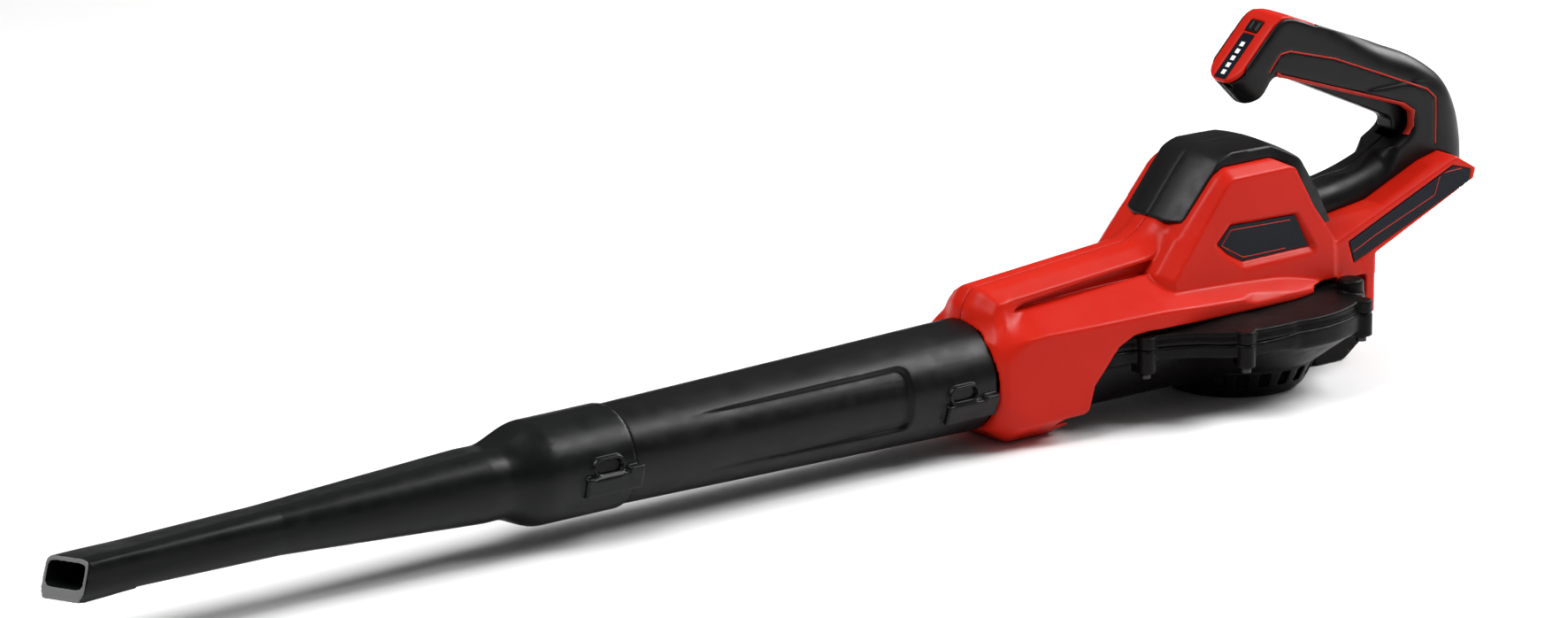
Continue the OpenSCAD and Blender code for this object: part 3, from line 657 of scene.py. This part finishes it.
pad = solid("key_spring", key_spring, (15, -4, 231), (25, 4, 241), "housing", RUBBER,
            ["speed_button_spring"], voxel=0.35 * COARSE)
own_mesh(pad)

TRIGGER_SIDE = rounded([(37, 206), (39.5, 202), (44, 200), (130, 161), (133.5, 158), (134, 151),
                        (139, 148.6), (142.6, 152), (143, 162), (140, 170), (120, 178.5), (64, 203),
                        (54, 208), (46, 209.5), (39, 209)], 2)


def trigger(x, y, z):
    """The long lever under the grip, with the hole for its pin."""
    d = meet(outline(x, z, TRIGGER_SIDE), np.abs(y) - 8, 2)
    return cut(d, np.hypot(x - TRIGGER_PIN[0], z - TRIGGER_PIN[1]) - 2.05)


solid("trigger_lever", trigger, (38, -9, 147), (144, 9, 211), "lever", KEY_BLACK,
      ["trigger"], voxel=0.8 * COARSE)


# ---------- fan casing ----------

VOLUTE_R = 88
# Half outline, from above, of the casing where it widens from the duct to the round fan housing
FLARE = rounded([(-150, -5), (-150, 47), (-130, 48.5), (-115, 54), (-101, 59), (-88, 66), (-73, 80),
                 (-50, 86), (-20, 87), (0, -5)], 6)
# Each screw boss: its centre, the point that its foot runs towards, and how far the foot reaches
BOSSES = [((-121, 51), (-121, 0), 7), ((-61, 82), (0, 0), 9), ((49, 73), (0, 0), 14)]
DUCT_R = 38.5
# The casing halves meet at this height, and end at this x, where the duct to the tube starts
SPLIT_Z, CASING_END = 54.0, -150.0
SKID_SIDE = rounded([(60, 14), (64, 0.3), (90, 0.3), (108, 13), (108, 40), (70, 40)], 3)
BOWL_SIDE = rounded([(-5, 0), (44, 0), (48.3, 3.6), (57, 21), (38, 21), (38, 18.5), (52.5, 18.5),
                     (45, 5.5), (42, 3), (-5, 3)], 1.6)
# The bowl's slots, in degrees about the fan's axis
SLOTS, FIRST_SLOT, SLOT_ARC = 17, 219, 282


def casing_plan(x, w):
    """The fan casing's outline from above."""
    return join(np.hypot(x, w) - VOLUTE_R, outline(x, w, FLARE), 5)


def boss_plan(x, w, spread_by):
    """Half-round screw bosses on the rim, each widening inwards to a trapezoid foot."""
    d = np.float32(1e3)
    for (bx, by), (tx, ty), reach in BOSSES:
        length = math.hypot(tx - bx, ty - by)
        ux, uy = (tx - bx) / length, (ty - by) / length
        along = (x - bx) * ux + (w - by) * uy
        across = np.abs((w - by) * ux - (x - bx) * uy)
        sides = across - 5.8 - np.maximum(along, -2) * spread_by
        foot = np.maximum(sides, np.maximum(-2 - along, along - reach))
        d = np.minimum(d, join(np.hypot(x - bx + ux, w - by + uy) - 6.4, foot, 1))
    return d


def casing_upper(x, y, z):
    """The lid of the fan casing, with its bosses and the hole for the motor's shaft."""
    w = np.abs(y)
    floor = SPLIT_Z + 0.1 - z
    plan = casing_plan(x, w)
    lid = (z - 62) * 0.98 + np.maximum(plan, -32) * 0.125
    rim = meet(plan, lid, 1)
    shell = meet(meet(rim, np.where(z > 57.6, plan + 1.0, plan), 0.6), floor, 0.4)
    bosses = meet(meet(boss_plan(x, w, 0.55), z - 62.8, 0.8), floor, 0.4)
    tower_boss = meet(np.hypot(x - 56, w - 54) - 9, z - 72, 3)
    d = join(join(shell, bosses, 0.8), meet(tower_boss, floor), 2)
    shaft_hole = np.maximum(np.hypot(x, w) - 14, 58 - z)
    d = cut(cut(d, meet(plan + WALL, lid + WALL)), shaft_hole)
    return np.maximum(d, CASING_END + 0.1 - x)


def casing_lower(x, y, z):
    """The pan of the fan casing: a dish under a flange, the duct and the skid that it rests on."""
    w = np.abs(y)
    r = np.hypot(x, w)
    lid = z - SPLIT_Z + 0.1
    plan = casing_plan(x, w)
    slope = meet(r - 87.5, (r - 85) * 0.6 + (41 - z) * 0.8, 2)
    dish = meet(slope, meet(20.5 - z, lid), 1)
    flange = meet(plan, meet(45 - z, lid, 0.4), 1.2)
    rho = np.hypot(w, z - AXIS_Z)
    duct = meet(meet(rho - DUCT_R, x + 50, 8), lid, 0.4)
    skid = meet(outline(x, z, SKID_SIDE), w - 12, 1.5)
    outer = join(join(join(dish, duct, 16), flange, 6), skid, 3)
    bosses = meet(meet(boss_plan(x, w, 0.2), lid, 0.4), 38 - z, 0.8)
    d = join(outer, bosses, 0.8)
    fan_room = np.minimum(meet(slope + WALL, 24 - z), np.maximum(plan + WALL, 48 - z))
    duct_room = np.maximum(rho - DUCT_R + WALL, x + 56)
    intake = np.maximum(r - 38, z - 30)
    d = cut(cut(d, meet(np.minimum(fan_room, duct_room), 10 - z)), intake)
    return np.maximum(d, CASING_END + 0.1 - x)


def duct_adapter(x, y, z):
    """The passage from the round mouth of the casing to the socket of the tube."""
    w = np.abs(y)
    rho = np.hypot(w, z - AXIS_Z)
    radius = at(x, [-282, -205, -151], [34, 34, 38])
    top = meet(meet(w - 46, z - 61.4, 1), 45.6 - z)
    top = top + np.maximum(-151 - x, 0) * 0.9
    d = join(rho - radius, top, 3)
    d = np.maximum(d, np.maximum(-282 - x, x - CASING_END + 0.1))
    d = cut(d, rho - radius + 2.5)
    key_slot = np.maximum(np.maximum(-x - 283, x + 247), np.maximum(np.abs(z - AXIS_Z) - 4.2, y))
    return cut(d, key_slot)


def bowl(x, y, z):
    """The slotted intake bowl under the fan."""
    r = np.hypot(x, y)
    d = outline(r, z, BOWL_SIDE)
    angle = np.degrees(np.arctan2(y, x)) % 360
    step = SLOT_ARC / SLOTS
    turn = (angle - FIRST_SLOT + 360 + step / 2) % 360
    local = np.radians(turn % step - step / 2)
    slot = brick(r * np.cos(local), r * np.sin(local), z, (51, 0, 13.5), (10, 3.75, 4.9), 0.8)
    slot = np.where(turn < SLOT_ARC + step, slot, 20)
    return cut(d, slot, 0.6)


solid("fan_cover", casing_upper, (-151, -90, 53), (90, 90, 74), "housing", CASING_BLACK,
      ["volute_upper"])
solid("tube_socket", duct_adapter, (-283, -48, 5), (-149, 48, 86), "housing", CAP_BLACK,
      ["outlet_duct"])
solid("fan_pan", casing_lower, (-151, -90, -1), (110, 90, 55), "housing", CASING_BLACK,
      ["volute_lower"])
solid("intake_grille", bowl, (-58, -58, -1), (58, 58, 22), "housing", CASING_BLACK,
      ["intake_bowl"], voxel=0.8 * COARSE)


# ---------- battery slides ----------

# The line that the slides follow under the shelf: its foot, and the cosine and sine of its slope
SLOPE_FOOT = (94, 79.4)
SLOPE_COS, SLOPE_SIN = 0.9219, 0.3875


def slide_rails(x, y, z):
    """Two low rails under the battery shelf."""
    px, pz = x - SLOPE_FOOT[0], z - SLOPE_FOOT[1]
    along, out = px * SLOPE_COS + pz * SLOPE_SIN, pz * SLOPE_COS - px * SLOPE_SIN
    return brick(along, np.abs(y), out, (47, 27, -1.8), (39, 3.2, 2.2), 0.6)


solid("battery_slides", slide_rails, (98, -31, 78), (175, 31, 116), "housing", CAP_BLACK,
      ["battery_rails"], voxel=0.8 * COARSE)


# ---------- tube and nozzle ----------

# The tube's radius at the body and at the nozzle, and the radius of the nozzle's round end
TUBE_R1, TUBE_R2, NOZZLE_R = 37.4, 32.7, 34.4
# Where the tube meets the body, and where it meets the nozzle
TUBE_END, JOINT_X = -236.6, -532.5
# The middles of the two release keys, the size of the holes for them, and how far their rims stand out
TUBE_KEY_X, NOZZLE_KEY_X = -265, -556
KEY_LENGTH, KEY_HW, RIM_HEIGHT = 18.8, 3.8, 1.9
# The nozzle is turned this many degrees about the tube's axis; its mouth leans by LIP_LEAN
NOZZLE_TURN = 8
LIP_X, LIP_LEAN, LIP_FOOT = -959.5, 0.36, -13
CHIN_SIDE = [(-961, -8), (-961, -13.4), (-954, -14.2), (-915, -12.4), (-915, -8)]
# The stations of the nozzle's taper, from its mouth to its neck
TAPER_X = [-960, -925, -800, -640, -600]


def turned(y, z, degrees):
    """Coordinates about the tube axis, turned about it."""
    a = math.radians(degrees)
    z = z - AXIS_Z
    return y * math.cos(a) - z * math.sin(a), y * math.sin(a) + z * math.cos(a)


def lock_block(x, y, z, r, x0, x1, turn):
    """The raised block below a release key, from x0 to x1: a pad with a step at its rear end."""
    v, h = turned(y, z, turn)
    pad = brick(x, v, h, ((x0 + x1) / 2, -r + 1.0, 0), ((x1 - x0) / 2, 4.0, 6.8), 0.8)
    step = brick(x, v, h, (x1 - 6, -r + 1.0, 4), (6, 4.1, 5), 0.7)
    return join(pad, step, 0.6)


def key_ring(x, h, depth, key_x, top):
    """The raised oval rim around a release key; it stands out as far as depth = top."""
    rim = np.abs(stadium(x - key_x, h, 23, 5.0)) - 1.15
    return meet(rim, meet(depth - top, top - 6 - depth), 0.7)


def tube(x, y, z):
    """The blower tube, with the sunk panel along its left side and the spigot for the nozzle."""
    h = z - AXIS_Z
    rho = np.hypot(y, h)
    radius = at(x, [JOINT_X, TUBE_END], [TUBE_R2, TUBE_R1])
    arc = (np.arctan2(h, -y) - math.radians(6.5)) * 36
    sunk_panel = meet(meet(np.abs(arc) - 21.8, -(x + 540)), x + 307, 8)
    sunk = ramp(0.5 - sunk_panel / 1.8) * ramp((x + 496) / 60) * at(x, [-492, -330], [0.8, 3.2])
    d = meet(rho - radius + sunk, np.maximum(x - TUBE_END, JOINT_X - x), 0.9)
    spigot = meet(np.maximum(rho - 31, x + 530), -585 - x, 0.8)
    d = join(d, spigot)
    d = join(d, lock_block(x, y, z, TUBE_R1, -279, TUBE_END, -19), 0.8)
    d = join(d, key_ring(x, h, -y, TUBE_KEY_X, TUBE_R1 + RIM_HEIGHT), 0.3)
    bore = at(x, [-585, -526, -292, -286, -285.9, -230], [28.8, 28.8, 31, 31, 34.4, 34.4])
    d = cut(d, rho - bore, 0.3)
    d = cut(d, meet(stadium(x - TUBE_KEY_X, h, KEY_LENGTH, KEY_HW), y), 0.3)
    v, spigot_h = turned(y, z, NOZZLE_TURN)
    key_slot = brick(x, v, spigot_h, (-569, -35, 0), (24, 15, 4.2))
    return cut(d, key_slot, 0.3)


def nozzle_section(x, v, h, inset):
    """The nozzle's tapering section: round at the joint, a flat rounded box at the mouth."""
    neck = ramp((x + 628) / 34)

    def taper(sizes):
        """A half size from the mouth to the neck, going over to the round end."""
        return at(x, TAPER_X, sizes) * (1 - neck) + NOZZLE_R * neck - inset

    half = taper([22.8, 21.8, 20.5, 27.5, 27.5])
    top = taper([12.2, 13.5, 17.5, 25.0, 25.0])
    low = taper([12.6, 12.8, 15.0, 24.5, 24.5])
    power = at(x, [-960, -900, -800, -640, -600], [6.0, 4.2, 3.0, 2.5, 2.0])
    tall = np.where(h > 0, top, low)
    ratio = (np.abs(v / half) ** power + np.abs(h / tall) ** power) ** (1 / power)
    round_part = (ratio - 1) * np.minimum(half, tall)
    flat = 0.90 + 0.10 * neck + 0.10 * ramp((-900 - x) / 50)
    return meet(round_part, (h - top * flat) * 0.97, 1.6)


def nozzle(x, y, z):
    """The flat nozzle, with a chin under its leaning mouth and a socket for the tube's spigot."""
    rho = np.hypot(y, z - AXIS_Z)
    v, h = turned(y, z, NOZZLE_TURN)
    lip = ((LIP_X - x) + (h - LIP_FOOT) * LIP_LEAN) * 0.94
    chin = meet(outline(x, h, CHIN_SIDE), np.abs(v) - 20, 2)
    d = join(nozzle_section(x, v, h, 0), chin, 1.0)
    d = meet(meet(d, lip, 0.5), x + 533, 0.8)
    d = join(d, lock_block(x, y, z, NOZZLE_R, -575, -529, -11), 0.8)
    d = join(d, key_ring(x, h, -v, NOZZLE_KEY_X, NOZZLE_R + RIM_HEIGHT), 0.3)
    floor = at(x, [-960, -930, -890], [-6.0, -8.0, -12.0])
    hollow = meet(nozzle_section(x, v, h, 2.8), floor - h, 4)
    spigot_room = np.maximum(rho - 31.4, -590 - x)
    tube_room = np.maximum(rho - 33.5, -533 - x)
    d = cut(cut(cut(d, hollow, 0.5), spigot_room), tube_room)
    return cut(d, meet(stadium(x - NOZZLE_KEY_X, h, KEY_LENGTH, KEY_HW), v), 0.3)


# The cut face of the mouth is painted light grey, a painted highlight for the light that the end face
# catches, down to 0.7 mm behind the plane of the lip
nozzle_angle = math.radians(NOZZLE_TURN)
lip_facing = (-1, LIP_LEAN * math.sin(nozzle_angle), LIP_LEAN * math.cos(nozzle_angle))
lip_offset = (-LIP_X + LIP_FOOT * LIP_LEAN + AXIS_Z * lip_facing[2]) * MM
paint_mouth_highlight(NOZZLE_BLACK, lip_facing, lip_offset - 0.0007, (0.15, 0.15, 0.15))

solid("blow_tube", tube, (-586, -41, 4), (-235, 39, 86), "tube", TUBE_BLACK,
      ["blower_tube"])
solid("flat_nozzle", nozzle, (-960, -38, 8), (-528, 38, 85), "spout", NOZZLE_BLACK,
      ["nozzle"])


# ---------- finishes of the CAD parts that stay ----------

FINISH = {
    "badge_left": NAVY, "badge_right": NAVY, "shelf_trim_left": NAVY, "shelf_trim_right": NAVY,
    "panel_window": NAVY, "panel_lamps": LAMP, "panel_board": BOARD, "controller_board": BOARD,
    "tube_button": KEY_BLACK, "nozzle_button": KEY_BLACK, "trigger_pin": SCREW,
    "trigger_spring": SCREW, "trigger_switch": SWITCH, "terminal_block": SWITCH,
    "volute_screws": SCREW, "housing_screws": SCREW, "motor_mount_screws": SCREW,
    "motor_mount": ALUMINIUM, "controller_heat_sink": ALUMINIUM, "motor_stator": STEEL,
    "bearing_lower": STEEL, "bearing_upper": STEEL, "rotor_shaft": STEEL, "rotor_can": SCREW,
    "rotor_magnets": MAGNET, "impeller": IMPELLER, "impeller_nut": COPPER,
    "motor_windings": COPPER, "terminal_blades": COPPER, "power_wires": WIRE, "motor_wires": WIRE,
}
for node_name, material in FINISH.items():
    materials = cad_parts[node_name].data.materials
    materials.clear()
    materials.append(material)


# ---------- camera, light and floor ----------

AZIMUTH, ELEVATION = math.radians(39.342), math.radians(15.546)
TARGET = Vector((-0.2222, 0.1985, 0.0453))
DISTANCE, LENS = 7.5, 259.0
# Brightness of the studio dome near the ground and overhead
HORIZON, ZENITH = 0.04, 0.34


def add_camera():
    """The camera, at the photo's viewing angle."""
    level = math.cos(ELEVATION)
    ahead = Vector((math.sin(AZIMUTH) * level, math.cos(AZIMUTH) * level, -math.sin(ELEVATION)))
    data = bpy.data.cameras.new("camera")
    data.lens, data.sensor_width = LENS, 36.0
    data.clip_start, data.clip_end = 0.1, 60.0
    camera = bpy.data.objects.new("camera", data)
    camera.location = TARGET - ahead * DISTANCE
    camera.rotation_mode = "QUATERNION"
    camera.rotation_quaternion = ahead.to_track_quat("-Z", "Y")
    bpy.context.scene.collection.objects.link(camera)
    bpy.context.scene.camera = camera


def add_softbox(name, place_at, aim, size, watts):
    """A rectangular area light at a place, turned towards aim."""
    data = bpy.data.lights.new(name, "AREA")
    data.shape, data.size, data.size_y, data.energy = "RECTANGLE", size[0], size[1], watts
    lamp = bpy.data.objects.new(name, data)
    lamp.location = place_at
    lamp.rotation_mode = "QUATERNION"
    lamp.rotation_quaternion = (Vector(aim) - Vector(place_at)).to_track_quat("-Z", "Y")
    bpy.context.scene.collection.objects.link(lamp)


def add_floor():
    """A pale floor that reaches past the edges of the picture."""
    far = 12.0
    mesh = bpy.data.meshes.new("floor")
    corners = [(-far, -far, 0), (far, -far, 0), (far, far, 0), (-far, far, 0)]
    mesh.from_pydata(corners, [], [(0, 1, 2, 3)])
    floor = bpy.data.objects.new("floor", mesh)
    bpy.context.scene.collection.objects.link(floor)
    mesh.materials.append(new_material("floor", (0.86, 0.86, 0.86), 0.7))


def add_world():
    """A studio dome that is dark near the ground and bright overhead."""
    world = bpy.data.worlds.new("studio")
    world.use_nodes = True
    nodes, links = world.node_tree.nodes, world.node_tree.links
    coords = nodes.new("ShaderNodeTexCoord")
    parts = nodes.new("ShaderNodeSeparateXYZ")
    height = nodes.new("ShaderNodeMapRange")
    height.inputs["From Min"].default_value = 0.15
    height.inputs["From Max"].default_value = 0.9
    height.inputs["To Min"].default_value = HORIZON
    height.inputs["To Max"].default_value = ZENITH
    links.new(coords.outputs["Generated"], parts.inputs[0])
    links.new(parts.outputs[2], height.inputs["Value"])
    links.new(height.outputs[0], nodes["Background"].inputs["Strength"])
    nodes["Background"].inputs["Color"].default_value = (1, 1, 1, 1)
    bpy.context.scene.world = world


add_camera()
add_floor()
add_world()
add_softbox("key", (-1.4, 0.2, 2.0), (-0.3, 0, 0.08), (1.5, 1.2), 52)
add_softbox("right", (1.4, -0.8, 1.7), (-0.3, 0, 0.08), (1.2, 0.8), 54)
add_softbox("rear", (2.1, 0.45, 1.2), (-0.1, 0, 0.15), (1.1, 0.9), 32)
bpy.context.scene.view_settings.view_transform = "Standard"
